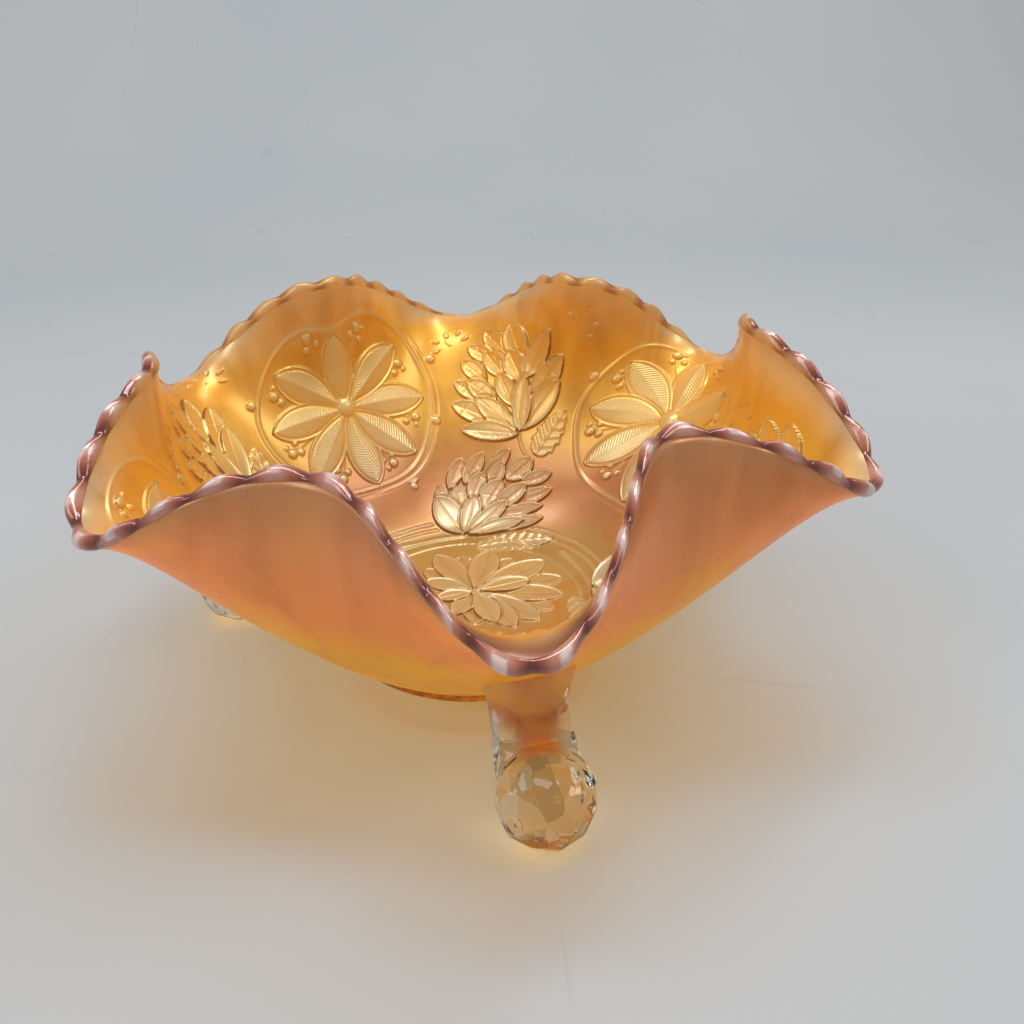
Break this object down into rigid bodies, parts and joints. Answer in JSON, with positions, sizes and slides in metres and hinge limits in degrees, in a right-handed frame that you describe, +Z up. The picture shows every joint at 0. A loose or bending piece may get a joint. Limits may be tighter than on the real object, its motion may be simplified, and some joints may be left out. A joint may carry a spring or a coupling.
{
  "type": "ruffled footed glass bowl",
  "caption": "Iridescent marigold pressed-glass bowl with ruffled scalloped rim, raised water lilies and poinsettias inside, and ball feet",
  "frame": {"origin": "on the ground under the centre of the bowl", "axes": "+Z up through the bowl's axis, -Y towards the front foot's ruffle, +X to the right seen from the front"},
  "size_m": [0.2194, 0.2454, 0.1119],
  "materials": {
    "marigold_glass": "satin iridescent marigold lustre on pressed glass",
    "edge_glass": "glossy fire-polished edge, brown-amethyst where the lustre is thick",
    "amber_glass": "glossy pale amber clear glass",
    "relief_glass": "pressed relief with silver-gold iridescent highlights"
  },
  "bodies": {
    "root": {"bowl_wall": "marigold_glass", "rim_edge": "edge_glass", "bowl_floor": "marigold_glass", "base_collar": "amber_glass", "leg_front": "amber_glass", "ball_foot_front": "amber_glass", "leg_back_right": "amber_glass", "ball_foot_back_right": "amber_glass", "leg_back_left": "amber_glass", "ball_foot_back_left": "amber_glass", "centre_water_lily": "relief_glass", "medallion_ring": "relief_glass", "poinsettia_1": "relief_glass", "upper_water_lily_1": "relief_glass", "lower_water_lily_1": "relief_glass", "poinsettia_2": "relief_glass", "upper_water_lily_2": "relief_glass", "lower_water_lily_2": "relief_glass", "poinsettia_3": "relief_glass", "upper_water_lily_3": "relief_glass", "lower_water_lily_3": "relief_glass", "poinsettia_4": "relief_glass", "upper_water_lily_4": "relief_glass", "lower_water_lily_4": "relief_glass"}
  },
  "joints": []
}
